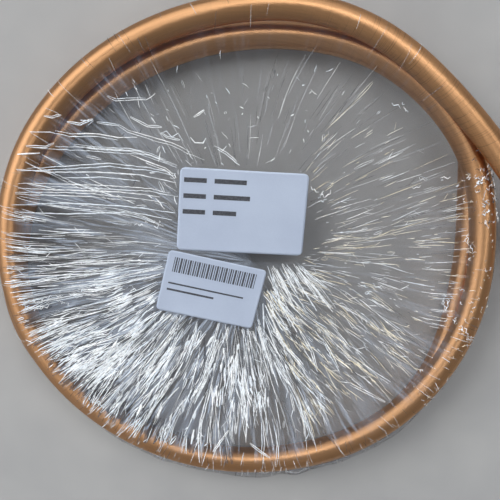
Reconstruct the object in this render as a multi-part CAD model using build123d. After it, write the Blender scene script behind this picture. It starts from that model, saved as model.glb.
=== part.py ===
from build123d import *
import math
import os

# A short length of copper tube, hand-wound to two turns and wrapped in film.
# Sizes in mm. Z is up, and the wrapped coil lies flat on the floor at Z = 0.

# Copper tube
tube_od = 12.7
tube_wall = 0.7
tube_length = 1500.0
tail_straight = 40.0
tail_bend = 46.0
foot_straight = 34.0
turn_gap = 0.45
tail_spring = 2.0
least_rise = 3.0

# How the tube was wound: its distance from the winding centre at every
# station on the way round, as a share of the mean radius, tail end first.
first_angle = 20.0
step_angle = 20.0
lay = [
    1.010, 0.936, 0.932, 0.928, 0.917, 0.932, 0.966, 1.004, 1.027,
    1.050, 1.057, 1.060, 1.064, 1.062, 1.053, 1.016, 0.972, 0.931,
    0.917, 0.888, 0.856, 0.818, 0.809, 0.830, 0.877, 0.946, 1.029,
    1.096, 1.102, 1.117, 1.127, 1.131, 1.120, 1.049, 0.950, 0.910,
]
# The winding centre's place, as a share of the mean radius from the middle.
winding_x = 0.043
winding_y = 0.112
drop_start = 376.0
drop_end = 450.0
# The angles between which the tail leaves the film.
tail_free = 24.0
tail_wrapped = 40.0

# Stretch film round the whole coil
film_thick = 0.4
film_slack = 0.75
field_radius = 58.0
field_height = 17.0
crest_inset = 1.0
# Its main folds run from the labels to the tube, and are highest at one side.
fold_count = 30
fold_height = 1.0
fold_side = 235.0
fold_reach = (0.12, 0.88)

# Labels on the film
label_length = 60.0
label_width = 40.0
label_corner = 2.5
label_angle = -4.0
label_at = (-4.3, 24.5)
ticket_length = 48.0
ticket_width = 31.0
ticket_corner = 2.0
ticket_angle = -14.0
ticket_at = (-19.5, -14.0)
paper_thick = 0.3
paper_lift = 0.3

tube_r = tube_od / 2
cover_r = tube_r + film_slack
floor_z = film_thick + film_slack + tube_r
stack = tube_od + turn_gap
per_turn = round(360 / step_angle)


def smooth(t):
    t = min(max(t, 0.0), 1.0)
    return t * t * (3 - 2 * t)


def rise(radius, below):
    # A turn lying on another stands higher the less it is shifted sideways.
    shift = radius - below
    return math.sqrt(max(stack * stack - shift * shift, least_rise * least_rise))


def stations(mean):
    # Points on the centre line, from the tail to the end under the coil.
    radii = [mean * share for share in lay]
    angles = [first_angle + step_angle * i for i in range(len(lay))]
    crest = rise(radii[per_turn - 1], radii[-1])
    heights = [floor_z] * len(lay)
    for i in range(len(lay) - 1, -1, -1):
        if i >= per_turn:
            t = (angles[i] - drop_start) / (drop_end - drop_start)
            heights[i] = floor_z + crest * (1 - smooth(t))
        else:
            heights[i] = heights[i + per_turn] + rise(radii[i], radii[i + per_turn])
    heights[0] += tail_spring
    # The tube is too stiff to dip into the lower spots, so it bridges them.
    least = list(heights)
    for sweep_no in range(4):
        last = list(heights)
        for i in range(1, per_turn - 1):
            bridged = last[i] / 2 + (last[i - 1] + last[i + 1]) / 4
            heights[i] = max(least[i], bridged)
    points = []
    for angle, radius, height in zip(angles, radii, heights):
        a = math.radians(angle)
        x = radius * math.cos(a) + winding_x * mean
        y = radius * math.sin(a) + winding_y * mean
        points.append(Vector(x, y, height))
    return points


def wound(mean):
    # The wound stretch with the part of the tail that springs away from it.
    points = stations(mean)
    leave = (points[1] - points[0]).normalized() * 1.6
    leave = (leave - (points[2] - points[1]).normalized() * 0.6).normalized()
    arrive = (points[-1] - points[-2]).normalized() * 1.5
    arrive = arrive - (points[-2] - points[-3]).normalized() * 0.5
    arrive = Vector(arrive.X, arrive.Y, 0).normalized()
    points.insert(0, points[0] - leave * tail_bend)
    return Edge.make_spline(points, tangents=[leave, arrive], scale=False)


def mean_radius():
    # The mean radius that uses up exactly the stated length of tube.
    target = tube_length - tail_straight - foot_straight
    mean = target / math.radians(step_angle * (len(lay) - 1))
    for i in range(8):
        mean = mean * target / wound(mean).length
    return mean


def centre_line(mean):
    # The wound stretch between its two straight ends.
    curve = wound(mean)
    start = curve.position_at(0)
    out = curve.tangent_at(0) * -1
    finish = curve.position_at(1)
    on = curve.tangent_at(1)
    tail = Edge.make_line(start + out * tail_straight, start)
    foot = Edge.make_line(finish, finish + on * foot_straight)
    return [tail, curve, foot]


def round_bar(edge, radius):
    plane = Plane(origin=edge.position_at(0), z_dir=edge.tangent_at(0))
    disc = Face(Wire.make_circle(radius, plane))
    return Solid.sweep(disc, edge)


def copper_tube(mean):
    tube = None
    for edge in centre_line(mean):
        piece = round_bar(edge, tube_r) - round_bar(edge, tube_r - tube_wall)
        tube = piece if tube is None else tube + piece
    return tube


def survey(curve):
    # Angle round the coil, distance from the middle and height, tail first.
    line = [curve.position_at(i / 240) for i in range(241)]
    on = curve.tangent_at(1)
    line += [line[-1] + on * foot_straight * i / 4 for i in range(1, 5)]
    rows = []
    for p in line:
        angle = math.degrees(math.atan2(p.Y, p.X))
        while rows and angle < rows[-1][0] - 5:
            angle += 360
        rows.append((angle, math.hypot(p.X, p.Y), p.Z))
    return rows


def tube_at(rows, angle):
    # Where the tube runs at an angle counted along its length.
    for a, b in zip(rows, rows[1:]):
        if a[0] <= angle <= b[0]:
            t = (angle - a[0]) / (b[0] - a[0])
            return (a[1] + (b[1] - a[1]) * t, a[2] + (b[2] - a[2]) * t)
    return rows[-1][1:]


def passes(rows, angle):
    # Each time the tube passes an angle, after it has left the tail behind.
    found = []
    for turn in (0, 360, 720):
        if tail_wrapped <= angle + turn <= rows[-1][0] + 3:
            found.append(tube_at(rows, angle + turn))
    return found


def corner(one, two):
    # Where two lines meet, each given by the angle it faces and its distance.
    (a, h), (b, k) = one, two
    a = math.radians(a)
    b = math.radians(b)
    turn = math.sin(b - a)
    x = (h * math.sin(b) - k * math.sin(a)) / turn
    z = (k * math.cos(a) - h * math.cos(b)) / turn
    return (x, z)


def fold(k, angle):
    # Every second point round the wrap lies on a fold.
    lean = math.cos(math.radians(angle - fold_side))
    return fold_height * (k % 2) * (0.65 + 0.35 * lean)


def skin(rows, grow):
    # The closed form that the film's faces follow, grown outwards by grow.
    rings = [[], [], [], [], [], [], [], [], []]
    steps = 2 * fold_count
    for k in range(steps):
        angle = 360 / steps * k
        runs = passes(rows, angle)
        upper = max(runs, key=lambda run: run[1])
        if angle < tail_wrapped:
            tail = tube_at(rows, max(angle, tail_free))
            t = smooth((angle - first_angle) / (tail_wrapped - first_angle))
            upper = [u + (v - u) * t for u, v in zip(upper, tail)]
            runs.append(upper)
        lines = [(-90, grow - film_thick)]
        for face in (-45, 0, 30, 60, 90):
            c = math.cos(math.radians(face))
            s = math.sin(math.radians(face))
            reach = max(run[0] * c + run[1] * s for run in runs)
            lines.append((face, reach + cover_r + grow))
        spec = [corner(one, two) for one, two in zip(lines, lines[1:])]
        crest = (upper[0] - crest_inset, lines[-1][1])
        field = (field_radius, field_height + grow)
        spec.append(crest)
        for share in fold_reach:
            radius = crest[0] + (field[0] - crest[0]) * share
            height = crest[1] + (field[1] - crest[1]) * share
            spec.append((radius, height + fold(k, angle)))
        spec.append(field)
        for ring, (radius, height) in zip(rings, spec):
            a = math.radians(angle)
            ring.append(Vector(radius * math.cos(a), radius * math.sin(a), height))
    wires = [Wire([Edge.make_spline(ring, periodic=True)]) for ring in rings]
    return Solid.make_loft(wires, True)


def stretch_film(mean):
    curve = wound(mean)
    rows = survey(curve)
    cover = skin(rows, film_thick) - skin(rows, 0.0)
    # The tail leaves the wrap through a hole that it fills.
    bend = round_bar(curve.trim(0, 0.065), tube_r + film_slack / 2)
    return cover - bend


def sheet(length, width, corner, angle, place):
    base = field_height + film_thick + paper_lift
    outline = RectangleRounded(length, width, corner)
    flat = extrude(outline, amount=paper_thick)
    return Pos(place[0], place[1], base) * Rot(0, 0, angle) * flat


mean = mean_radius()
nodes = {
    "copper_tube": copper_tube(mean),
    "stretch_film": stretch_film(mean),
    "product_label": sheet(label_length, label_width, label_corner, label_angle, label_at),
    "small_label": sheet(ticket_length, ticket_width, ticket_corner, ticket_angle, ticket_at),
}

os.makedirs("parts", exist_ok=True)
for name, shape in nodes.items():
    export_step(shape, os.path.join("parts", name + ".step"))
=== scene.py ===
import random
from collections import namedtuple
from math import asin, atan2, copysign, cos, degrees, hypot, pi, radians, sin, sqrt

import bpy
import numpy as np
from mathutils import Matrix, Vector


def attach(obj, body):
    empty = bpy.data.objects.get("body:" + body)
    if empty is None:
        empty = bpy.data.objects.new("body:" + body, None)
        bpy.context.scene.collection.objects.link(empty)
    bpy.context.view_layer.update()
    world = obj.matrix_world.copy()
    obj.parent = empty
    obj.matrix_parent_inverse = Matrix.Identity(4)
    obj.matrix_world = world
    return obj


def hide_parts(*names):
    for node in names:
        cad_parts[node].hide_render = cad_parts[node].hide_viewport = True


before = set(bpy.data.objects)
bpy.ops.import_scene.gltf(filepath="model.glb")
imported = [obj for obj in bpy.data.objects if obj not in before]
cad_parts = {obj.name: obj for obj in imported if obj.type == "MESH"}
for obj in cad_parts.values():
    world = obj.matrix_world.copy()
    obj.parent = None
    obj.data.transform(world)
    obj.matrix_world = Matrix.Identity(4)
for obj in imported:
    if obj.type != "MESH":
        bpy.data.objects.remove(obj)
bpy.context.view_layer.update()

# Lengths are in mm and angles in degrees, unless a name or comment says else.
MM = 0.001
FULL_TURN = 2 * pi
chance = random.Random(7)
between = chance.uniform
grid_chance = np.random.default_rng(11)

# The tube's centre line, on the same stations as the part
TUBE_OD = 12.7
TUBE_R = TUBE_OD / 2
TURN_GAP = 0.45
STACK = TUBE_OD + TURN_GAP
LEAST_RISE = 3.0
FLOOR_Z = 7.5
MEAN_R = 113.586
MIDDLE = np.array([0.043, 0.112, 0.0]) * MEAN_R
FIRST_ANGLE = 20
STEP_ANGLE = 20
PER_TURN = 18
DROP_START = 376
DROP_END = 450
BRIDGE_SWEEPS = 4
TAIL_SPRING = 2.0
TAIL_BEND = 46.0
TAIL_LEAN = 0.6
TAIL_FREE = 24.0
TAIL_WRAPPED = 40
FOOT = 34.0
FOOT_LEAN = 0.5
FOOT_PARTS = 4
LINE_POINTS = 900
LAY = [
    1.010, 0.936, 0.932, 0.928, 0.917, 0.932, 0.966, 1.004, 1.027,
    1.050, 1.057, 1.060, 1.064, 1.062, 1.053, 1.016, 0.972, 0.931,
    0.917, 0.888, 0.856, 0.818, 0.809, 0.830, 0.877, 0.946, 1.029,
    1.096, 1.102, 1.117, 1.127, 1.131, 1.120, 1.049, 0.950, 0.910,
]


def smooth(t):
    t = np.clip(t, 0.0, 1.0)
    return t * t * (3 - 2 * t)


def read_off(pairs, places):
    # The values at some places, on straight lines between the given pairs.
    return np.interp(places, [place for place, value in pairs], [value for place, value in pairs])


def rise(radius, below):
    # A turn lying on another stands higher the less it is shifted sideways.
    return sqrt(max(STACK * STACK - (radius - below) ** 2, LEAST_RISE ** 2))


def stations():
    # Points on the centre line, from the tail to the end under the coil.
    count = len(LAY)
    radii = [MEAN_R * share for share in LAY]
    full_rise = rise(radii[PER_TURN - 1], radii[-1])
    heights = [FLOOR_Z] * count
    for i in range(count - 1, -1, -1):
        if i >= PER_TURN:
            t = (FIRST_ANGLE + STEP_ANGLE * i - DROP_START) / (DROP_END - DROP_START)
            heights[i] = FLOOR_Z + full_rise * (1 - smooth(t))
        else:
            heights[i] = heights[i + PER_TURN] + rise(radii[i], radii[i + PER_TURN])
    heights[0] += TAIL_SPRING
    # The tube is too stiff to dip into the lower spots, so it bridges them.
    least = list(heights)
    for sweep in range(BRIDGE_SWEEPS):
        last = list(heights)
        for i in range(1, PER_TURN - 1):
            bridged = last[i] / 2 + (last[i - 1] + last[i + 1]) / 4
            heights[i] = max(least[i], bridged)
    angles = np.radians(FIRST_ANGLE + STEP_ANGLE * np.arange(count))
    return np.stack([radii * np.cos(angles), radii * np.sin(angles), heights], 1) + MIDDLE


def unit(v):
    return v / np.linalg.norm(v)


def spline(points, first, last, count):
    # A cubic curve through the points with set directions at its ends.
    s = np.concatenate([[0], np.cumsum(np.linalg.norm(np.diff(points, axis=0), axis=1))])
    m = len(s)
    matrix = np.zeros((m, m))
    wanted = np.zeros((m, 3))
    matrix[0, 0] = matrix[-1, -1] = 1
    wanted[0] = first
    wanted[-1] = last
    for i in range(1, m - 1):
        a = s[i] - s[i - 1]
        b = s[i + 1] - s[i]
        matrix[i, i - 1] = b
        matrix[i, i] = 2 * (a + b)
        matrix[i, i + 1] = a
        before = b * (points[i] - points[i - 1]) / a
        after = a * (points[i + 1] - points[i]) / b
        wanted[i] = 3 * (before + after)
    slopes = np.linalg.solve(matrix, wanted)
    q = np.linspace(0, s[-1], count)
    k = np.clip(np.searchsorted(s, q) - 1, 0, m - 2)
    h = (s[k + 1] - s[k])[:, None]
    t = (q - s[k])[:, None] / h
    near = (2 * t**3 - 3 * t**2 + 1) * points[k] + (t**3 - 2 * t**2 + t) * h * slopes[k]
    return near + (-2 * t**3 + 3 * t**2) * points[k + 1] + (t**3 - t**2) * h * slopes[k + 1]


def centre_line():
    # The wound stretch with the tail's bend before it and the foot after it.
    wound = stations()
    leave = unit(wound[1] - wound[0]) * (1 + TAIL_LEAN) - unit(wound[2] - wound[1]) * TAIL_LEAN
    leave = unit(leave)
    arrive = unit(wound[-1] - wound[-2]) * (1 + FOOT_LEAN) - unit(wound[-2] - wound[-3]) * FOOT_LEAN
    arrive[2] = 0
    arrive = unit(arrive)
    bent = spline(np.vstack([wound[0] - leave * TAIL_BEND, wound]), leave, arrive, LINE_POINTS)
    foot = [bent[-1] + arrive * (FOOT * i / FOOT_PARTS) for i in range(1, FOOT_PARTS + 1)]
    return np.vstack([bent, foot])


line = centre_line()
line_angle = np.degrees(np.unwrap(np.arctan2(line[:, 1], line[:, 0])))
line_radius = np.hypot(line[:, 0], line[:, 1])
line_height = line[:, 2]


def tube_at(angle):
    # Where the tube runs at an angle counted along its length.
    return np.interp(angle, line_angle, line_radius), np.interp(angle, line_angle, line_height)


def passes(angle):
    # Each time the tube passes an angle, after it has left the tail behind.
    counted = (angle, angle + 360, angle + 720)
    return [tube_at(a) for a in counted if TAIL_WRAPPED <= a <= line_angle[-1] + 3]


# The film's section at each angle: the flat field inside the coil's eye, the
# slope up to the tube, the rim that follows the tubes, and the flat underside.
FIELD_R = 58.0
FIELD_Z = 17.42
UNDER_Z = 0.15
LEAST_Z = 0.1
FILM_R = TUBE_R + 0.5
COLS = 720
N_FIELD = 10
N_TOP = 46
N_RIM = 26
N_UNDER = 7
RIM_ROW = N_FIELD + N_TOP
UNDER_ROW = RIM_ROW + N_RIM
N_ROWS = UNDER_ROW + N_UNDER
SECTION_SWEEPS = 3


def section(angle):
    runs = passes(angle)
    upper = max(runs, key=lambda run: run[1])
    if angle < TAIL_WRAPPED:
        tail = tube_at(max(angle, TAIL_FREE))
        t = float(smooth((angle - FIRST_ANGLE) / (TAIL_WRAPPED - FIRST_ANGLE)))
        upper = (upper[0] + (tail[0] - upper[0]) * t, upper[1] + (tail[1] - upper[1]) * t)
        runs.append(upper)
    # The slope is a straight line from the field that just touches the tube.
    dx = upper[0] - FIELD_R
    dz = upper[1] - FIELD_Z
    far = hypot(dx, dz)
    tilt = atan2(dz, dx) + asin(FILM_R / far)
    reach = sqrt(far * far - FILM_R * FILM_R)
    rows = [(FIELD_R * i / N_FIELD, FIELD_Z) for i in range(N_FIELD)]
    for i in range(N_TOP):
        t = i / (N_TOP - 1)
        rows.append((FIELD_R + cos(tilt) * reach * t, FIELD_Z + sin(tilt) * reach * t))
    start = tilt + pi / 2
    for i in range(1, N_RIM + 1):
        facing = start + (-pi / 2 - start) * i / N_RIM
        c = cos(facing)
        s = sin(facing)
        outer = max(runs, key=lambda run: run[0] * c + run[1] * s)
        rows.append((outer[0] + FILM_R * c, max(outer[1] + FILM_R * s, UNDER_Z)))
    rim = rows[-1][0]
    for i in range(1, N_UNDER + 1):
        rows.append((rim * (1 - i / N_UNDER), UNDER_Z))
    return rows


sections = np.array([section(360.0 * k / COLS) for k in range(COLS)])
for sweep in range(SECTION_SWEEPS):
    sections = (np.roll(sections, 1, 0) + np.roll(sections, -1, 0) + sections) / 3


def mesh_object(name, verts, faces, material, smooth_faces=True):
    mesh = bpy.data.meshes.new(name)
    mesh.from_pydata(verts, [], faces)
    mesh.update()
    ob = bpy.data.objects.new(name, mesh)
    bpy.context.scene.collection.objects.link(ob)
    mesh.materials.append(material)
    if smooth_faces:
        mesh.polygons.foreach_set("use_smooth", [True] * len(mesh.polygons))
    return ob


class Graph:
    """A node tree, with short ways to add to it."""

    def __init__(self, tree):
        self.tree = tree

    def add(self, kind, **values):
        made = self.tree.nodes.new(kind)
        for name, value in values.items():
            setattr(made, name, value)
        return made

    def feed(self, value, socket):
        # Numbers are set on the socket, and other sockets are linked to it.
        if isinstance(value, bpy.types.NodeSocket):
            self.tree.links.new(value, socket)
        else:
            socket.default_value = value

    def math(self, operation, *values):
        made = self.add("ShaderNodeMath", operation=operation)
        for value, socket in zip(values, made.inputs):
            self.feed(value, socket)
        return made.outputs[0]

    def times(self, one, two):
        return self.math("MULTIPLY", one, two)

    def plus(self, one, two):
        return self.math("ADD", one, two)

    def times_plus(self, one, factor, more):
        return self.math("MULTIPLY_ADD", one, factor, more)

    def place(self):
        return self.add("ShaderNodeTexCoord").outputs["Object"]

    def polar(self):
        # Angle, distance and height of the shaded point about the coil's middle.
        parts = self.add("ShaderNodeSeparateXYZ")
        self.feed(self.place(), parts.inputs[0])
        x, y, z = parts.outputs
        squares = self.plus(self.times(x, x), self.times(y, y))
        return self.math("ARCTAN2", y, x), self.math("SQRT", squares), z

    def share_of_turn(self, angle):
        return self.times_plus(angle, 1 / FULL_TURN, 0.5)

    def stretched(self, *parts):
        # A place made of three values, each with its own scale.
        made = self.add("ShaderNodeCombineXYZ")
        for (value, scale), socket in zip(parts, made.inputs):
            self.feed(self.times(value, scale), socket)
        return made.outputs[0]

    def noise(self, place, scale, detail=2.0, rough=0.5):
        made = self.add("ShaderNodeTexNoise")
        self.feed(scale, made.inputs["Scale"])
        self.feed(detail, made.inputs["Detail"])
        self.feed(rough, made.inputs["Roughness"])
        self.feed(place, made.inputs["Vector"])
        return made.outputs["Fac"]

    def ramp(self, value, stops):
        made = self.add("ShaderNodeValToRGB")
        elements = made.color_ramp.elements
        while len(elements) < len(stops):
            elements.new(0.5)
        for element, (position, tone) in zip(elements, stops):
            element.position = position
            element.color = (*tone, 1) if isinstance(tone, tuple) else (tone, tone, tone, 1)
        self.feed(value, made.inputs[0])
        return made.outputs[0]

    def mixed(self, share, one, two):
        made = self.add("ShaderNodeMix", data_type="RGBA")
        self.feed(share, made.inputs[0])
        self.feed(one, made.inputs[6])
        self.feed(two, made.inputs[7])
        return made.outputs[2]

    def bumped(self, height, strength, distance):
        made = self.add("ShaderNodeBump")
        self.feed(strength, made.inputs["Strength"])
        self.feed(distance, made.inputs["Distance"])
        self.feed(height, made.inputs["Height"])
        return made.outputs[0]


class Material(Graph):
    """A material's node tree, with its surface."""

    def __init__(self, name):
        self.made = bpy.data.materials.new(name)
        self.made.use_nodes = True
        super().__init__(self.made.node_tree)
        self.surface = self.tree.nodes["Principled BSDF"]

    def set(self, name, value):
        self.feed(value, self.surface.inputs[name])


def copper_material():
    m = Material("copper_satin")
    angle, distance, height = m.polar()
    # Long drawing marks along the tube: fine across it, slow round the coil.
    drawn = m.stretched((distance, 1300.0), (height, 1300.0), (angle, 2.4))
    marks = m.noise(drawn, scale=1.0, detail=4.0, rough=0.65)
    broad = m.noise(m.place(), scale=14.0, detail=3.0, rough=0.55)
    tone = m.plus(m.times(broad, 0.5), m.times(marks, 0.5))
    shades = [(0.3, (0.59, 0.315, 0.148)), (0.5, (0.72, 0.400, 0.195)), (0.7, (0.83, 0.480, 0.245))]
    clean = m.ramp(tone, shades)
    # Hairline bend marks across the tube near its free end.
    crossing = m.stretched((angle, 330.0), (distance, 55.0), (height, 55.0))
    hair = m.ramp(m.noise(crossing, scale=1.0, detail=1.0), [(0.60, 0.0), (0.68, 1.0)])
    near_tail = [(0.52, 0.15), (0.58, 1.0), (0.66, 1.0), (0.72, 0.12)]
    hair = m.times(hair, m.ramp(m.share_of_turn(angle), near_tail))
    marked = m.mixed(m.times(hair, 0.38), clean, (0.20, 0.09, 0.04, 1))
    m.set("Base Color", marked)
    m.set("Metallic", 1.0)
    # Fine rings from the drawing die spread the light along the tube.
    m.set("Anisotropic", 0.95)
    round_coil = m.add("ShaderNodeTangent", direction_type="RADIAL", axis="Z")
    m.set("Tangent", round_coil.outputs[0])
    m.set("Roughness", m.times_plus(marks, 0.20, 0.43))
    m.set("Normal", m.bumped(m.times_plus(hair, -0.6, marks), strength=0.12, distance=0.0002))
    return m.made


# How strong the film's painted sheen and painted shade are, by share of a turn, from -X by way of -Y
# and +X.
SHEEN_AND_SHADE = [
    (0.0, 0.80), (0.083, 1.0), (0.167, 0.80), (0.25, 0.42), (0.333, 0.34), (0.417, 0.20),
    (0.5, 0.10), (0.583, 0.04), (0.72, 0.03), (0.82, 0.07), (0.917, 0.50), (1.0, 0.80),
]


def film_material():
    # Nearly clear, with painted sheen as a white veil in soft bands and fine streaks, and a dark tint
    # that paints shade on what shows through it.
    m = Material("film_clear")
    angle, distance, height = m.polar()
    sheen_and_shade = m.ramp(m.share_of_turn(angle), SHEEN_AND_SHADE)
    free = m.add("ShaderNodeAttribute", attribute_name="free").outputs["Fac"]
    bands = m.noise(m.stretched((angle, 11.0), (distance, 16.0), (height, 1.0)), scale=1.0)
    rays = m.stretched((angle, 48.0), (distance, 42.0), (height, 60.0))
    rays = m.noise(rays, scale=1.0, detail=4.0, rough=0.62)
    soft = m.ramp(bands, [(0.45, 0.0), (0.66, 1.0)])
    streak = m.ramp(rays, [(0.52, 0.0), (0.64, 0.7), (0.74, 1.0)])
    # The white veil is painted sheen, where folds of the film would catch the light.
    painted_sheen = m.times_plus(soft, 0.10, m.times(streak, 0.34))
    painted_sheen = m.times(m.times(painted_sheen, sheen_and_shade), free)
    # Where the veil is weak the film is a dark tint, which paints shade on the floor and tube seen
    # through it.
    m.set("Alpha", m.times_plus(free, m.times_plus(sheen_and_shade, 0.16, 0.16), painted_sheen))
    sheen_share = m.math("DIVIDE", painted_sheen, m.plus(painted_sheen, 0.13))
    tints = [(0.0, (0.07, 0.073, 0.08)), (0.45, (0.60, 0.70, 0.86)), (1.0, (0.92, 0.96, 1.0))]
    m.set("Base Color", m.ramp(sheen_share, tints))
    m.set("Roughness", 0.16)
    m.set("IOR", 1.45)
    return m.made


def crease_material(name, tints, faintest, strongest):
    # Every ridge is an island, with a tint and a strength of its own.
    m = Material(name)
    island = m.add("ShaderNodeNewGeometry").outputs["Random Per Island"]
    # Noise makes the painted tints patchy in strength.
    patchy = m.ramp(m.noise(m.place(), scale=420.0, rough=0.6), [(0.3, 0.7), (0.5, 1.0)])
    m.set("Alpha", m.times(m.times_plus(island, strongest - faintest, faintest), patchy))
    m.set("Base Color", m.ramp(island, list(zip((0.0, 0.5, 1.0), tints))))
    m.set("Roughness", 0.22)
    return m.made


def label_material():
    m = Material("label_stock")
    grain = m.noise(m.place(), scale=1500.0)
    mottle = m.noise(m.place(), scale=45.0)
    tone = m.plus(m.times(grain, 0.3), m.times(mottle, 0.7))
    m.set("Base Color", m.ramp(tone, [(0.35, (0.41, 0.47, 0.59)), (0.65, (0.45, 0.515, 0.635))]))
    m.set("Roughness", 0.42)
    m.set("Normal", m.bumped(grain, strength=0.05, distance=0.0001))
    return m.made


def plain_material(name, stops, scale, grain, rough):
    # A matt material with slight noise between two tones.
    m = Material(name)
    m.set("Base Color", m.ramp(m.noise(m.place(), scale, rough=grain), stops))
    m.set("Roughness", rough)
    return m.made


copper = copper_material()
film_clear = film_material()
# The folds' tints are painted light: white for highlights on the folds, partly also the whitish look of
# folded film, golden for reflections of the copper, and near black for shade and reflections of dark
# surroundings.
WHITE = [(0.84, 0.92, 1.0), (0.95, 0.98, 1.0), (0.99, 1.0, 1.0)]
GOLDEN = [(1.0, 0.86, 0.58), (1.0, 0.93, 0.75), (1.0, 0.97, 0.88)]
SHADE = [(0.05, 0.055, 0.07), (0.09, 0.095, 0.11), (0.15, 0.15, 0.16)]
crease_bright = crease_material("film_crease", WHITE, 0.85, 1.0)
crease_faint = crease_material("film_crease_faint", WHITE, 0.2, 0.62)
crease_warm = crease_material("film_crease_warm", GOLDEN, 0.75, 1.0)
crease_painted_shade = crease_material("film_crease_painted_shade", SHADE, 0.25, 0.75)
label_stock = label_material()
INK_TONES = [(0.3, (0.035, 0.037, 0.045)), (0.7, (0.09, 0.095, 0.11))]
ink = plain_material("label_ink", INK_TONES, scale=900.0, grain=0.6, rough=0.5)

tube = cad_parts["copper_tube"]
tube.data.materials.clear()
tube.data.materials.append(copper)

# The film's folds: the part's own main ones, and finer ones
MAIN_FOLDS = 30
MAIN_HEIGHT = 1.0
MAIN_SIDE = 235
MAIN_FADE = 0.12
FINE_GRID = (230, 7)
FINE_HEIGHT = 0.28
BROAD_GRID = (96, 5)
BROAD_HEIGHT = 0.34
LEAST_LIFT = -0.1
# How strongly the film is creased at each angle, from 0 to 1.
CREASED = [
    (0, 0.35), (30, 0.25), (60, 0.2), (100, 0.22), (140, 0.45), (170, 0.8), (200, 1.0),
    (240, 1.0), (270, 0.95), (300, 0.75), (330, 0.5), (360, 0.35),
]
# How far the film stands away from the tube as a loose skirt: in mm at each
# angle, and as a share at each row of the rim.
SKIRT_REACH = [(0, 0), (218, 0), (240, 2.6), (270, 4.4), (300, 4.4), (322, 2.6), (336, 0), (360, 0)]
SKIRT_SHARE = [(7, 0), (11, 0.5), (14, 0.95), (16, 1.0), (20, 0.75), (23, 0.35), (25, 0)]


def soft_noise(across, down):
    # Smooth random values on a grid that closes on itself round the coil.
    grid = grid_chance.random((across, down))
    u = np.arange(COLS) / COLS * across
    v = np.arange(N_ROWS) / (N_ROWS - 1) * (down - 1)
    i = np.floor(u).astype(int) % across
    j = np.minimum(np.floor(v).astype(int), down - 2)
    fu = smooth(u - np.floor(u))[:, None]
    fv = smooth(v - j)[None, :]

    def knots(a, b):
        return grid[np.ix_(a % across, b)]

    top = knots(i, j) * (1 - fu) + knots(i + 1, j) * fu
    low = knots(i, j + 1) * (1 - fu) + knots(i + 1, j + 1) * fu
    return top * (1 - fv) + low * fv


def film_surface():
    # The film's distance from the middle and height at each column and row,
    # and which way its section faces there.
    angle = FULL_TURN * np.arange(COLS) / COLS
    fine = soft_noise(*FINE_GRID)
    broad = soft_noise(*BROAD_GRID)
    ridges = (1 - np.abs(2 * fine - 1)) ** 2.5 * FINE_HEIGHT
    pleats = (1 - np.abs(2 * broad - 1)) ** 3 * BROAD_HEIGHT
    row = np.arange(N_ROWS)
    grow = smooth((row - N_FIELD) / 8.0)
    ease = 1 - smooth((row - (RIM_ROW - 8)) / 10.0) * 0.8
    under = 1 - smooth((row - (UNDER_ROW - 7)) / 5.0)
    amount = (grow * ease * under)[None, :] * read_off(CREASED, np.degrees(angle) % 360)[:, None]
    lean = 0.65 + 0.35 * np.cos(angle - radians(MAIN_SIDE))
    main = MAIN_HEIGHT * (1 - np.cos(MAIN_FOLDS * angle)) / 2 * lean
    slope = np.clip((row - N_FIELD) / (N_TOP - 1), 0, 1)
    along = np.clip(slope / MAIN_FADE, 0, 1) * np.clip((1 - slope) / MAIN_FADE, 0, 1)
    lift = main[:, None] * along[None, :] + amount * (ridges + pleats)
    lift = np.maximum(lift, LEAST_LIFT)
    d = np.gradient(sections, axis=1)
    length = np.maximum(np.hypot(d[:, :, 0], d[:, :, 1]), 1e-6)
    out = -d[:, :, 1] / length
    up = d[:, :, 0] / length
    radius = sections[:, :, 0] + out * lift
    height = np.maximum(sections[:, :, 1] + up * lift, LEAST_Z)
    reach = read_off(SKIRT_REACH, np.degrees(angle)) * (0.75 + 0.5 * broad[:, 0])
    share = np.zeros(N_ROWS)
    share[RIM_ROW:UNDER_ROW] = read_off(SKIRT_SHARE, np.arange(N_RIM))
    return radius + reach[:, None] * share[None, :], height, out, up


film_radius, film_height, film_out, film_up = film_surface()

# Where the film lies free its painted sheen and painted shade are stronger than where it is pressed to
# the tube.
PRESSED = 0.1
HALF_FREE = 0.5
SKIRT_FREE = 0.9
FADE_ROWS = 6
SKIRT_SIDE = [(218, 0), (240, 1), (320, 1), (338, 0)]


def freedom():
    # How free the film lies at each column and row, from 0 to 1.
    rows = np.ones(N_ROWS)
    rows[RIM_ROW - 1 - FADE_ROWS:RIM_ROW] = np.linspace(1, PRESSED, FADE_ROWS + 1)
    rows[RIM_ROW:] = PRESSED
    rows[UNDER_ROW - 4:] = HALF_FREE
    free = np.tile(rows, (COLS, 1))
    skirt = slice(RIM_ROW + 12, UNDER_ROW - 2)
    loose = read_off(SKIRT_SIDE, np.arange(COLS) * 360 / COLS)
    free[:, skirt] = np.maximum(free[:, skirt], SKIRT_FREE * loose[:, None])
    return free


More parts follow.
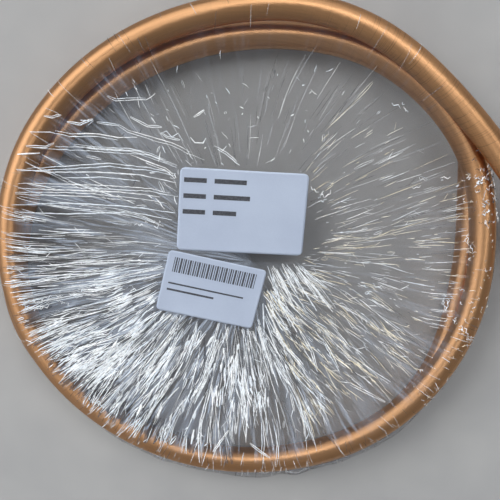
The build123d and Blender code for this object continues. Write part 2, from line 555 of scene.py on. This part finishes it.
def film_skin():
    # One closed skin over the top, down the rim and across underneath.
    angle = FULL_TURN * np.arange(COLS) / COLS
    x = film_radius * np.cos(angle)[:, None]
    y = film_radius * np.sin(angle)[:, None]
    points = np.stack([x, y, film_height], 2)[:, 1:-1] * MM
    verts = [(0, 0, FIELD_Z * MM)]
    verts += map(tuple, points.reshape(-1, 3))
    verts.append((0, 0, UNDER_Z * MM))
    faces = []
    n = N_ROWS - 2
    for k in range(COLS):
        one = 1 + k * n
        two = 1 + (k + 1) % COLS * n
        faces.append((0, one, two))
        for j in range(n - 1):
            faces.append((one + j, one + j + 1, two + j + 1, two + j))
        faces.append((one + n - 1, len(verts) - 1, two + n - 1))
    film = mesh_object("film_skin", verts, faces, film_clear)
    values = np.ones(len(verts))
    values[1:-1] = freedom()[:, 1:-1].ravel()
    film.data.attributes.new("free", "FLOAT", "POINT").data.foreach_set("value", values)
    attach(film, "root")
    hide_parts("stretch_film")


film_skin()


def column(angle):
    return int(angle % 360 / 360 * COLS) % COLS


def skin_at(angle, row):
    # A point of the film and the way it faces there, by angle and row.
    a = radians(angle)
    k = column(angle)
    j = min(max(int(row), 0), N_ROWS - 2)
    t = min(max(row - j, 0.0), 1.0)
    r = film_radius[k, j] * (1 - t) + film_radius[k, j + 1] * t
    z = film_height[k, j] * (1 - t) + film_height[k, j + 1] * t
    facing = (film_out[k, j] * cos(a), film_out[k, j] * sin(a), film_up[k, j])
    return np.array((r * cos(a), r * sin(a), z)), np.array(facing)


def top_at(x, y):
    # The film's height over a point, or None outside the coil.
    k = column(degrees(atan2(y, x)))
    r = hypot(x, y)
    last = int(np.argmax(film_radius[k]))
    if r > film_radius[k, last]:
        return None
    return float(np.interp(r, film_radius[k, :last + 1], film_height[k, :last + 1]))


# The labels: paper sheets with round corners, lying on the film
Sheet = namedtuple("Sheet", "length width corner angle x y")
MAIN_LABEL = Sheet(60.0, 40.0, 2.5, -4.0, -4.3, 24.5)
SMALL_LABEL = Sheet(48.0, 31.0, 2.0, -14.0, -19.5, -14.0)
LABEL_Z = 17.6
LABEL_THICK = 0.14
LABEL_GRID = (60, 40)
CURL_FROM = 0.82
CURL_OVER = 0.18


def put_on(sheet, u, v, height):
    # A place on a label, by the label's own directions, a little bowed.
    c = cos(radians(sheet.angle))
    s = sin(radians(sheet.angle))
    bow = 0.10 * sin(u * 0.11 + 1.0) + 0.07 * sin(v * 0.17 + 0.4 + u * 0.05)
    edge = max(abs(u) / (sheet.length / 2), abs(v) / (sheet.width / 2))
    curl = 0.25 * max(0.0, edge - CURL_FROM) / CURL_OVER
    z = LABEL_Z + bow * 0.6 + curl * 0.4 + height
    return (sheet.x + u * c - v * s) * MM, (sheet.y + u * s + v * c) * MM, z * MM


def in_corners(sheet, u, v):
    # The nearest place inside the sheet's round corners.
    a = abs(u) - (sheet.length / 2 - sheet.corner)
    b = abs(v) - (sheet.width / 2 - sheet.corner)
    s = hypot(a, b)
    if a > 0 and b > 0 and s > sheet.corner:
        u = copysign(sheet.length / 2 - sheet.corner + a * sheet.corner / s, u)
        v = copysign(sheet.width / 2 - sheet.corner + b * sheet.corner / s, v)
    return u, v


def label(name, sheet, node_name):
    nu, nv = LABEL_GRID
    verts = []
    faces = []
    for layer in (0.0, LABEL_THICK):
        for i in range(nu + 1):
            for j in range(nv + 1):
                u = -sheet.length / 2 + sheet.length * i / nu
                v = -sheet.width / 2 + sheet.width * j / nv
                verts.append(put_on(sheet, *in_corners(sheet, u, v), layer))

    def at(i, j, layer):
        return layer * (nu + 1) * (nv + 1) + i * (nv + 1) + j

    for i in range(nu):
        for j in range(nv):
            faces.append((at(i, j, 1), at(i + 1, j, 1), at(i + 1, j + 1, 1), at(i, j + 1, 1)))
            faces.append((at(i, j, 0), at(i, j + 1, 0), at(i + 1, j + 1, 0), at(i + 1, j, 0)))
    for i in range(nu):
        faces.append((at(i, 0, 0), at(i + 1, 0, 0), at(i + 1, 0, 1), at(i, 0, 1)))
        faces.append((at(i, nv, 0), at(i, nv, 1), at(i + 1, nv, 1), at(i + 1, nv, 0)))
    for j in range(nv):
        faces.append((at(0, j, 0), at(0, j, 1), at(0, j + 1, 1), at(0, j + 1, 0)))
        faces.append((at(nu, j, 0), at(nu, j + 1, 0), at(nu, j + 1, 1), at(nu, j, 1)))
    ob = mesh_object(name, verts, faces, label_stock)
    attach(ob, "root")
    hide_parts(node_name)


label("label_main", MAIN_LABEL, "product_label")
label("label_small", SMALL_LABEL, "small_label")

# Plain bars on the labels, each a flat box that follows the paper
BAR_PART = 1.5
BAR_HEIGHTS = (0.13, 0.17)


def bars(name, sheet, boxes):
    verts = []
    faces = []
    for left, low, right, high in boxes:
        n = max(1, int((right - left) / BAR_PART))
        first = len(verts)
        for i in range(n + 1):
            u = left + (right - left) * i / n
            for v in (low, high):
                for height in BAR_HEIGHTS:
                    verts.append(put_on(sheet, u, v, height))
        for i in range(n):
            a = first + 4 * i
            b = a + 4
            faces.append((a + 1, b + 1, b + 3, a + 3))
            faces.append((a, a + 2, b + 2, b))
            faces.append((a, b, b + 1, a + 1))
            faces.append((a + 2, a + 3, b + 3, b + 2))
        end = first + 4 * n
        faces.append((first, first + 1, first + 3, first + 2))
        faces.append((end, end + 2, end + 3, end + 1))
    ob = mesh_object(name, verts, faces, ink, False)
    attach(ob, "root")


def main_boxes():
    # Three rows of a short and a longer bar.
    left = -28.0
    short = 10.5
    apart = 3.6
    half_height = 1.1
    boxes = []
    for row, longer in enumerate((15.0, 17.0, 11.0)):
        v = 14.2 - 7.6 * row
        second = left + short + apart
        boxes.append((left, v - half_height, left + short, v + half_height))
        boxes.append((second, v - half_height, second + longer, v + half_height))
    return boxes


def small_boxes():
    # A row of upright bars in a repeated order, and two long thin ones.
    widths = (0.35, 0.7, 0.45, 0.9)
    gaps = (0.5, 0.42, 0.6)
    boxes = []
    u = -20.5
    k = 0
    while u < 20.0:
        width = widths[k % len(widths)]
        boxes.append((u, 5.0, u + width, 12.5))
        u += width + gaps[k % len(gaps)]
        k += 1
    boxes.append((-21.0, -1.2, 16.0, -0.4))
    boxes.append((-21.0, -4.6, 2.0, -3.6))
    return boxes


bars("label_main_rows", MAIN_LABEL, main_boxes())
bars("label_small_rows", SMALL_LABEL, small_boxes())

# The camera's place, turn and lens, also for folds that are placed in its square frame
CAMERA_AT = np.array([-22.29, 122.93, 383.07])
TILT_Y = Matrix.Rotation(radians(-3.374), 4, "Y")
TILT_X = Matrix.Rotation(radians(-17.739), 4, "X")
CAMERA_TURN = TILT_Y @ TILT_X
LENS = 58.0
SENSOR = 36.0
FRAME = 500
FOCAL = FRAME * LENS / SENSOR
AXES = np.array(CAMERA_TURN.to_3x3())


def on_film(px, py):
    # The point of the film that shows at a place in the frame.
    ray = AXES @ np.array([(px - FRAME / 2) / FOCAL, (FRAME / 2 - py) / FOCAL, -1.0])
    z = 22.0
    for closer in range(6):
        x, y = (CAMERA_AT + ray * ((z - CAMERA_AT[2]) / ray[2]))[:2]
        z = top_at(x, y)
        if z is None:
            return None
    return x, y


def under_label(x, y):
    for sheet in (MAIN_LABEL, SMALL_LABEL):
        c = cos(radians(sheet.angle))
        s = sin(radians(sheet.angle))
        u = (x - sheet.x) * c + (y - sheet.y) * s
        v = -(x - sheet.x) * s + (y - sheet.y) * c
        if abs(u) < sheet.length / 2 + 0.5 and abs(v) < sheet.width / 2 + 0.5:
            return True
    return False


def waves(slowest, fastest):
    # Slow waves over the film: how fast they change, their way and their start.
    found = []
    for k in range(7):
        rate = between(slowest, fastest)
        found.append((rate, between(0, FULL_TURN), between(0, FULL_TURN)))
    return found


def sway(x, y, parts):
    # The waves' height at a place, mostly between -2 and 2.
    return sum(sin(f * (x * cos(a) + y * sin(a)) + p) for f, a, p in parts) / 2.2


# Neighbouring folds lean together, and crowd together.
leaning = waves(0.05, 0.16)
crowding = waves(0.25, 0.55)
# How far the waves turn a fold, and how fast it takes its new heading.
LEAN = 0.13
PULL = 0.4
# A ridge's own section: its edges' height, and its base's over the film.
EDGE_HEIGHT = 0.02
BASE_HEIGHT = 0.06


def ridge_section(tall):
    # Sideways share and height of a ridge's edge, crest and other edge.
    return (-1, EDGE_HEIGHT), (0.1, tall), (1, EDGE_HEIGHT)


def body_at(t):
    # A ridge's fullness along its length: thin at its ends, uneven between.
    return sin(pi * min(max(t, 0.04), 0.96)) ** 0.4 * between(0.6, 1.25)


def sideways(points, i):
    # The unit direction across a line of points at one of them.
    one = points[max(i - 1, 0)]
    two = points[min(i + 1, len(points) - 1)]
    dx = two[0] - one[0]
    dy = two[1] - one[1]
    d = hypot(dx, dy) or 1.0
    return -dy / d, dx / d


class Folds:
    """Thin tapering ridges laid along lines on the film."""

    def __init__(self):
        self.verts = []
        self.faces = []

    def join(self, first, count):
        # Faces between the sections of one ridge, three points each.
        for a in range(first, first + 3 * (count - 1), 3):
            b = a + 3
            self.faces.append((a, b, b + 1, a + 1))
            self.faces.append((a + 1, b + 1, b + 2, a + 2))

    def line(self, points, width, tall):
        # A ridge through points, up to where a label or the coil's edge stops it.
        row = []
        for i, (x, y) in enumerate(points):
            z = None if under_label(x, y) else top_at(x, y)
            if z is None:
                if len(row) >= 3:
                    break
                row = []
                continue
            row.append((x, y, z, body_at(i / (len(points) - 1))))
        if len(row) < 3:
            return
        first = len(self.verts)
        for i, (x, y, z, body) in enumerate(row):
            side_x, side_y = sideways(row, i)
            nx = side_x * width * body / 2
            ny = side_y * width * body / 2
            for share, up in ridge_section(tall * body):
                point = (x + nx * share, y + ny * share, z + BASE_HEIGHT + up)
                self.verts.append(tuple(value * MM for value in point))
        self.join(first, len(row))

    def walk(self, x, y, heading, length, width, tall, kink, step=1.6):
        # A ridge that starts at a point and keeps its heading, more or less.
        n = max(3, int(length / step))
        step = length / n
        a = heading
        points = []
        for i in range(n + 1):
            points.append((x, y))
            a += between(-kink, kink)
            a += (heading + LEAN * sway(x, y, leaning) - a) * PULL
            x += cos(a) * step
            y += sin(a) * step
        self.line(points, width, tall)
        return points

    def skin(self, places, width, tall):
        # A ridge through places given by angle and row, also down the rim.
        first = len(self.verts)
        spots = [skin_at(angle, row) for angle, row in places]
        last = len(spots) - 1
        for i, (spot, facing) in enumerate(spots):
            along = spots[min(i + 1, last)][0] - spots[max(i - 1, 0)][0]
            side = np.cross(along, facing)
            side = side / max(np.linalg.norm(side), 1e-6)
            body = body_at(i / last)
            for share, up in ridge_section(tall * body):
                point = spot + side * (share * width * body / 2) + facing * (BASE_HEIGHT + up)
                self.verts.append(tuple(point * MM))
        self.join(first, len(spots))

    def zigzag(self, x, y, heading, parts, reach, width):
        # One crooked line: it turns back and forth at every corner.
        points = [(x, y)]
        side = chance.choice((-1, 1))
        for i in range(parts):
            a = heading + side * between(0.3, 1.1)
            side = -side
            d = reach * between(0.5, 1.3)
            for t in (0.5, 1.0):
                points.append((x + cos(a) * d * t, y + sin(a) * d * t))
            x, y = points[-1]
        self.line(points, width, 0.18)

    def pair(self, points, apart, width, tall):
        # The two bright edges of one flattened fold.
        n = len(points)
        for side in (-1, 1):
            edge = []
            for i, (x, y) in enumerate(points):
                side_x, side_y = sideways(points, i)
                swell = 0.45 + 0.55 * sin(pi * (i / (n - 1))) ** 0.5
                off = side * apart / 2 * swell * between(0.8, 1.15)
                edge.append((x + side_x * off, y + side_y * off))
            cut = int(n * between(0, 0.3)) if n > 7 else 0
            self.line(edge[cut:] if chance.random() < 0.5 else edge[:n - cut], width, tall)

    def made(self, name, material):
        ob = mesh_object(name, self.verts, self.faces, material, False)
        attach(ob, "root")


# Bright and faint folds paint highlights, partly also the whitish look of folded film; warm folds paint
# reflections of the copper; dark folds paint shade and reflections of dark surroundings.
bright = Folds()
faint = Folds()
warm = Folds()
dark = Folds()

# Folds at their own places in the frame, as points along each
LONG_PAIRS = [
    [(118, 125), (128, 131), (150, 138), (172, 144), (190, 153), (205, 159), (224, 168)],
    [(30, 131), (50, 131), (70, 135), (95, 135), (118, 139), (137, 138)],
    [(25, 146), (60, 148), (100, 150), (140, 153), (160, 160), (181, 168)],
    [(74, 145), (95, 148), (130, 150), (152, 155), (178, 166)],
    [(17, 170), (60, 168), (110, 165), (150, 169), (180, 176)],
    [(18, 184), (50, 185), (100, 187), (150, 190), (178, 196)],
    [(15, 193), (60, 194), (100, 196), (140, 200), (176, 206)],
    [(130, 117), (138, 121), (148, 126), (162, 127)],
    [(44, 116), (52, 117), (61, 115)],
    [(67, 122), (80, 124), (93, 119)],
    [(97, 122), (108, 124), (119, 125)],
    [(26, 146), (46, 147), (54, 143)],
    [(107, 96), (116, 100), (133, 99), (146, 99), (155, 93)],
    [(194, 117), (199, 114), (204, 110)],
    [(161, 133), (167, 137), (180, 140)],
    [(214, 146), (226, 153), (240, 165)],
    [(130, 155), (146, 162), (165, 169), (179, 181)],
    [(300, 330), (312, 352), (318, 372)],
    [(322, 338), (330, 352), (340, 372)],
    [(330, 380), (350, 384), (385, 402)],
    [(213, 452), (220, 442), (229, 430)],
    [(250, 443), (258, 450), (270, 458)],
]
LONG_SINGLES = [
    [(16, 169), (50, 172), (95, 172), (140, 175), (180, 184)],
    [(62, 178), (100, 177), (140, 181)],
    [(17, 154), (40, 153)],
    [(18, 188), (60, 190), (120, 192), (160, 197)],
    [(190, 137), (195, 143), (203, 143), (206, 138)],
    [(12, 205), (60, 203), (120, 206), (175, 213)],
    [(14, 212), (70, 214), (130, 212), (172, 220)],
    [(80, 120), (93, 121), (88, 125)],
    [(160, 134), (166, 131), (172, 137), (178, 133), (183, 141)],
    [(100, 96), (96, 92)],
]


def through(places, step=2.0):
    # A finely divided line through places given in the frame.
    spots = [on_film(px, py) for px, py in places]
    spots = [spot for spot in spots if spot is not None]
    points = []
    for (x0, y0), (x1, y1) in zip(spots, spots[1:]):
        n = max(1, int(hypot(x1 - x0, y1 - y0) / step))
        for i in range(n):
            t = i / n
            x = x0 + (x1 - x0) * t + chance.gauss(0, 0.06)
            points.append((x, y0 + (y1 - y0) * t + chance.gauss(0, 0.06)))
    points.append(spots[-1])
    return points


for places in LONG_PAIRS:
    points = through(places)
    reach = hypot(points[0][0] - points[-1][0], points[0][1] - points[-1][1])
    bright.pair(points, min(1.5, 0.7 + reach * 0.012), between(0.38, 0.55), 0.22)
for places in LONG_SINGLES:
    bright.line(through(places), between(0.45, 0.7), 0.2)

# Folds at random places, running outwards from near the labels. The film is clearer on the tail's side,
# and its folds there are partly golden, painted reflections of the copper.
GATHER = (-9, 4)
TAIL_SIDE = (312, 62)
GOLDEN_SIDE = (288, 62)
# Their angles, how many, nearest and farthest start, shortest and longest,
# width, spread of their direction, kink, and which share are pairs or dark.
Sector = namedtuple("Sector", "start end count near far shortest longest width spread kink pairs darks")
SECTORS = [
    Sector(150, 176, 110, 40, 108, 10, 44, 0.38, 0.07, 0.06, 0.4, 0.15),
    Sector(174, 200, 290, 34, 112, 6, 50, 0.44, 0.09, 0.10, 0.3, 0.22),
    Sector(198, 236, 600, 36, 110, 4, 42, 0.48, 0.14, 0.14, 0.3, 0.32),
    Sector(234, 262, 250, 30, 97, 4, 36, 0.48, 0.13, 0.13, 0.3, 0.30),
    Sector(260, 290, 300, 30, 86, 3, 30, 0.46, 0.12, 0.12, 0.25, 0.2),
    Sector(288, 316, 390, 16, 84, 2, 18, 0.36, 0.14, 0.13, 0.12, 0.1),
    Sector(314, 342, 360, 16, 94, 1.5, 17, 0.28, 0.13, 0.1, 0.08, 0.08),
    Sector(340, 380, 400, 24, 100, 1.2, 18, 0.25, 0.10, 0.08, 0.06, 0.06),
    Sector(20, 62, 150, 30, 92, 1.2, 22, 0.20, 0.08, 0.05, 0.04, 0.1),
    Sector(60, 122, 120, 40, 98, 1.0, 5, 0.36, 0.8, 0.5, 0.05, 0.05),
    Sector(118, 152, 70, 40, 100, 1.5, 9, 0.40, 0.5, 0.3, 0.2, 0.1),
]


def crest(angle):
    # How far out the film first meets the tube at an angle.
    return sections[column(angle), RIM_ROW - 1, 0]


def place_at(angle, r):
    # A point by angle and distance, and the way outwards from the labels.
    x = r * cos(radians(angle))
    y = r * sin(radians(angle))
    return x, y, atan2(y - GATHER[1], x - GATHER[0])


def on_side(angle, side):
    # Whether an angle lies on a side that runs past 0.
    return angle > side[0] or angle < side[1]


def room_past_crest(angle):
    # How far a fold may run on over the tube: less far on the tail's side.
    past = between(0, 5) if angle < 200 else between(-4, 3)
    return past - 8 if on_side(angle, TAIL_SIDE) else past


def fold_in(sector):
    # One fold of a sector, unless it falls where the film stays smooth.
    angle = between(sector.start, sector.end)
    far = min(sector.far, crest(angle) + 2)
    r = sector.near + (far - sector.near) * chance.random() ** 0.9
    x, y, heading = place_at(angle, r)
    if sway(x, y, crowding) < between(-1.3, 0.25):
        return
    heading += chance.gauss(0, sector.spread)
    length = sector.shortest + (sector.longest - sector.shortest) * chance.random() ** 1.8
    length = min(length, crest(angle) + room_past_crest(angle) - r)
    if length < 1.0:
        return
    width = sector.width * between(0.55, 1.3)
    tall = between(0.08, 0.26)
    # Bright and faint folds paint highlights; golden ones paint reflections of the copper; dark ones
    # paint shade.
    holder = bright if chance.random() < 0.62 else faint
    if on_side(angle, GOLDEN_SIDE) and chance.random() < 0.4:
        holder = warm
    if chance.random() < sector.darks:
        holder = dark
        width *= 1.5
    if chance.random() < sector.pairs and holder is not dark:
        # The pair's middle line is laid on a spare set, which isn't made.
        points = Folds().walk(x, y, heading, length, width, tall, sector.kink)
        holder.pair(points, between(0.6, 1.3), width * 0.75, tall)
    else:
        points = holder.walk(x, y, heading, length, width, tall, sector.kink)
    if length > 7 and chance.random() < 0.35:
        # A short branch that leaves the fold at an angle.
        x, y = points[chance.randrange(1, len(points) - 1)]
        heading += chance.choice((-1, 1)) * between(0.35, 0.95)
        holder.walk(x, y, heading, between(1.5, 5.0), width * 0.8, tall, sector.kink)


for sector in SECTORS:
    for i in range(sector.count):
        fold_in(sector)


def strains():
    # Long thin strains over the clear side.
    for i in range(120):
        x, y, heading = place_at(between(10, 130), between(42, 88))
        holder = dark if chance.random() < 0.4 else faint
        heading += chance.gauss(0, 0.04)
        length = between(8, 26)
        holder.walk(x, y, heading, length, between(0.16, 0.3), tall=0.06, kink=0.03, step=2.4)


def bundles():
    # Many folds side by side, where the film is gathered tight.
    for i in range(40):
        gathered = i < 30
        angle = chance.triangular(182, 238, 214) if gathered else between(244, 276)
        r = between(60, 94) if gathered else between(40, 78)
        x0, y0, heading = place_at(angle, r)
        heading += chance.gauss(0, 0.16)
        for j in range(chance.randint(6, 16)):
            x = x0 + chance.gauss(0, 2.0)
            y = y0 + chance.gauss(0, 2.0)
            length = min(between(3, 12), crest(angle) + 3 - hypot(x, y))
            if length > 1:
                lie = heading + chance.gauss(0, 0.1)
                bright.walk(x, y, lie, length, between(0.3, 0.75), tall=0.2, kink=0.14)


def broad_glints():
    # Painted glints, where the film turns its flat side to the light.
    for i in range(70):
        x, y, heading = place_at(chance.triangular(186, 272, 232), between(42, 92))
        holder = bright if chance.random() < 0.4 else faint
        heading += chance.gauss(0, 0.2)
        length = between(3, 8)
        holder.walk(x, y, heading, length, between(0.8, 1.6), tall=0.2, kink=0.25)


# Edges in the frame that strong folds come out from: how many, the edge's
# two ends, how far past it they may start, and how they lie at its ends.
LabelEdge = namedtuple("LabelEdge", "count start end past lies")
LABEL_EDGES = [
    LabelEdge(30, (262, 262), (306, 262), (0, 12), (-74, -42)),
    LabelEdge(24, (270, 278), (256, 328), (10, 0), (-66, -78)),
]


def label_folds():
    # Strong folds that come out from under the labels on their right.
    for edge in LABEL_EDGES:
        for i in range(edge.count):
            t = chance.random()
            past = chance.random()
            px, py = (a + (b - a) * t + c * past for a, b, c in zip(edge.start, edge.end, edge.past))
            lie = edge.lies[0] + (edge.lies[1] - edge.lies[0]) * t
            x, y = on_film(px, py)
            holder = bright if chance.random() < 0.6 else faint
            heading = radians(lie + chance.gauss(0, 7))
            length = between(8, 30)
            if chance.random() < 0.45:
                points = Folds().walk(x, y, heading, length, width=0.4, tall=0.2, kink=0.08)
                holder.pair(points, between(0.8, 1.6), between(0.3, 0.5), tall=0.2)
            else:
                holder.walk(x, y, heading, length, between(0.35, 0.8), tall=0.2, kink=0.08)


def hollows():
    # Painted shade: dark strips in the hollows beside the tube.
    for i in range(90):
        angle = chance.triangular(184, 266, 216)
        x, y, heading = place_at(angle, crest(angle) - between(6, 18))
        heading += chance.gauss(0, 0.2)
        length = between(4, 10)
        dark.walk(x, y, heading, length, between(1.2, 2.8), tall=0.0, kink=0.2)


# Crumpled spots: place in the frame, which way they lie in radians, reach
# along and across, and how many lines.
Spot = namedtuple("Spot", "px py lie along across count")
CRUMPLED = [
    Spot(34, 305, 0.1, 5, 3, 9), Spot(52, 300, 0.3, 6, 3, 9), Spot(74, 296, 0.2, 6, 2, 6),
    Spot(100, 402, -0.8, 4, 2, 5), Spot(60, 326, -0.9, 5, 2, 5), Spot(446, 310, -1.0, 4, 2, 6),
    Spot(456, 322, -0.9, 5, 2, 6), Spot(468, 338, -0.9, 4, 1.5, 4), Spot(318, 190, -0.6, 5, 3, 5),
    Spot(324, 198, 0.5, 5, 2, 4), Spot(372, 290, 0.3, 5, 3, 5), Spot(150, 222, 0.6, 4, 3, 5),
    Spot(432, 182, 0.3, 6, 3, 4), Spot(130, 290, 0.2, 7, 3, 5), Spot(404, 108, -0.5, 4, 2, 4),
    Spot(470, 246, -1.4, 5, 1.5, 3),
]


def crumple(spot):
    middle = on_film(spot.px, spot.py)
    for i in range(spot.count):
        u = between(-spot.along, spot.along)
        v = chance.gauss(0, spot.across * 0.5)
        x = middle[0] + u * cos(spot.lie) - v * sin(spot.lie)
        y = middle[1] + u * sin(spot.lie) + v * cos(spot.lie)
        heading = spot.lie + chance.choice((0, pi)) + chance.gauss(0, 0.4)
        parts = chance.randint(2, 4)
        bright.zigzag(x, y, heading, parts, between(0.9, 1.9), between(0.28, 0.5))


strains()
bundles()
broad_glints()
label_folds()
hollows()
for spot in CRUMPLED:
    crumple(spot)


# Creases over the tubes, placed by angle and by the film's row
def wander(angle, row, parts, around, down):
    # Places that stray from a start, step by step.
    places = [(angle, row)]
    for i in range(parts):
        angle += between(-around, around)
        row += between(-down, down)
        places.append((angle, row))
    return places


def straight(angle, row, parts, lean, down):
    return [(angle + lean * i / parts, row + down * i / parts) for i in range(parts + 1)]


def tail_side_glints():
    # Small painted glints and painted copper reflections on the film over the tubes on the tail's side.
    for i in range(90):
        angle = between(-42, 24)
        row = between(RIM_ROW - 9, RIM_ROW + 7)
        places = wander(angle, row, chance.randint(2, 4), around=0.45, down=0.9)
        holder = chance.choice((bright, warm, faint))
        holder.skin(places, between(0.22, 0.4), tall=0.15)


def rim_creases():
    # Fine creases where the film bends over the tube and down the rim, most
    # of them on the near side, and longer ones round the far side.
    for i in range(168):
        near_side = i < 134
        angle = chance.triangular(196, 372, 285) if near_side else between(44, 200)
        row = between(RIM_ROW - 9, RIM_ROW + 4)
        end = row + (between(3, 12) if near_side else between(5, 18))
        if near_side:
            end = min(end, RIM_ROW + 9)
        places = straight(angle, row, 7, lean=chance.gauss(0, 0.5), down=end - row)
        holder = chance.choice((faint, faint, faint, dark, dark, bright if near_side else faint))
        holder.skin(places, between(0.2, 0.36), tall=0.14)


# The angles between which the film's loose edge shows outside the tube.
LOOSE_SIDE = (224, 334)


def loose_edge():
    # Creases along the loose edge, and then down it.
    for i in range(60):
        angle = between(*LOOSE_SIDE)
        span = between(2, 11)
        row = RIM_ROW + chance.choice((14.5, 16.0, 18.0)) + chance.gauss(0, 0.4)
        n = max(4, int(span / 1.2))
        places = [(angle + span * j / n, row + chance.gauss(0, 0.25)) for j in range(n + 1)]
        holder = chance.choice((faint, faint, bright, dark))
        holder.skin(places, between(0.25, 0.5), tall=0.16)
    for i in range(46):
        angle = between(*LOOSE_SIDE)
        row = RIM_ROW + between(9, 13)
        places = straight(angle, row, 5, lean=chance.gauss(0, 0.6), down=7)
        holder = chance.choice((faint, faint, dark))
        holder.skin(places, between(0.22, 0.4), tall=0.14)


def tail_bunch():
    # The bunch of film where the tail leaves the wrap.
    for i in range(120):
        angle = chance.gauss(21, 4.5)
        row = between(RIM_ROW - 4, RIM_ROW + N_RIM * 0.8)
        places = wander(angle, row, chance.randint(3, 6), around=0.6, down=1.1)
        places = [(a, min(max(r, RIM_ROW - 6), UNDER_ROW - 2)) for a, r in places]
        holder = chance.choice((bright, faint, faint, dark, dark))
        holder.skin(places, between(0.3, 0.8), tall=0.4)


tail_side_glints()
rim_creases()
loose_edge()
tail_bunch()

# The folds' objects, each with its painted light: highlights, fainter highlights, copper reflections
# and shade.
bright.made("film_folds", crease_bright)
faint.made("film_folds_faint", crease_faint)
warm.made("film_folds_warm", crease_warm)
dark.made("film_folds_painted_shade", crease_painted_shade)

# The plain pale floor, in metres
FLOOR_HALF = 3
FLOOR_TONES = [(0.3, (0.37, 0.37, 0.37)), (0.7, (0.41, 0.41, 0.405))]
floor_pale = plain_material("floor_pale", FLOOR_TONES, scale=30.0, grain=0.5, rough=0.9)
corners = [(x * FLOOR_HALF, y * FLOOR_HALF, 0) for x, y in ((-1, -1), (1, -1), (1, 1), (-1, 1))]
floor = mesh_object("floor", corners, [(0, 1, 2, 3)], floor_pale, False)

# The sky's light changes slowly across it and has soft bright patches, given
# by direction, outer and inner edge in degrees from it, and strength.
Patch = namedtuple("Patch", "direction outer inner strength")
PATCHES = [
    Patch((-0.55, 0.80, 0.24), 42, 8, 1.75),
    Patch((-0.62, 0.52, 0.57), 22, 8, 3.2),
    Patch((0.20, 0.56, 0.80), 16, 5, 6.4),
]
BRIGHT_SIDE = (-0.90, 0.42, 0.10)
SKY_MIDDLE = 0.34
SKY_SWING = 0.40
SKY_LEAST = 0.28
SKY_COLOUR = (0.95, 0.97, 1.0, 1)

world = bpy.data.worlds.new("studio")
bpy.context.scene.world = world
world.use_nodes = True
sky = Graph(world.node_tree)
looking = sky.add("ShaderNodeTexCoord").outputs["Generated"]


def towards(direction):
    # How nearly the sky's direction is a given one: 1 straight there.
    made = sky.add("ShaderNodeVectorMath", operation="DOT_PRODUCT")
    sky.feed(looking, made.inputs[0])
    sky.feed(Vector(direction).normalized(), made.inputs[1])
    return made.outputs["Value"]


def light_of(patch):
    made = sky.add("ShaderNodeMapRange", interpolation_type="SMOOTHSTEP")
    sky.feed(towards(patch.direction), made.inputs["Value"])
    sky.feed(cos(radians(patch.outer)), made.inputs["From Min"])
    sky.feed(cos(radians(patch.inner)), made.inputs["From Max"])
    sky.feed(patch.strength, made.inputs["To Max"])
    return made.outputs["Result"]


glow = sky.times_plus(towards(BRIGHT_SIDE), SKY_SWING, SKY_MIDDLE)
glow = sky.math("MAXIMUM", glow, SKY_LEAST)
for patch in PATCHES:
    glow = sky.plus(glow, light_of(patch))
background = sky.tree.nodes["Background"]
sky.feed(SKY_COLOUR, background.inputs[0])
sky.feed(glow, background.inputs[1])


def key_light():
    # A square lamp over the far left, seen in no glossy reflection.
    lamp = bpy.data.lights.new("key", "AREA")
    lamp.shape = "RECTANGLE"
    lamp.size = 0.6
    lamp.size_y = 0.6
    lamp.energy = 5.0
    lamp.color = (1.0, 0.97, 0.92)
    key = bpy.data.objects.new("key", lamp)
    place = Vector((-0.70, 0.70, 0.95))
    key.location = place
    key.rotation_euler = (-place).to_track_quat("-Z", "Y").to_euler()
    key.visible_glossy = False
    bpy.context.scene.collection.objects.link(key)


def camera():
    data = bpy.data.cameras.new("camera")
    data.sensor_fit = "HORIZONTAL"
    data.sensor_width = SENSOR
    data.lens = LENS
    data.clip_start = 0.01
    cam = bpy.data.objects.new("camera", data)
    bpy.context.scene.collection.objects.link(cam)
    cam.matrix_world = Matrix.Translation(Vector(CAMERA_AT * MM)) @ CAMERA_TURN
    bpy.context.scene.camera = cam


key_light()
camera()
bpy.context.scene.view_settings.view_transform = "Standard"
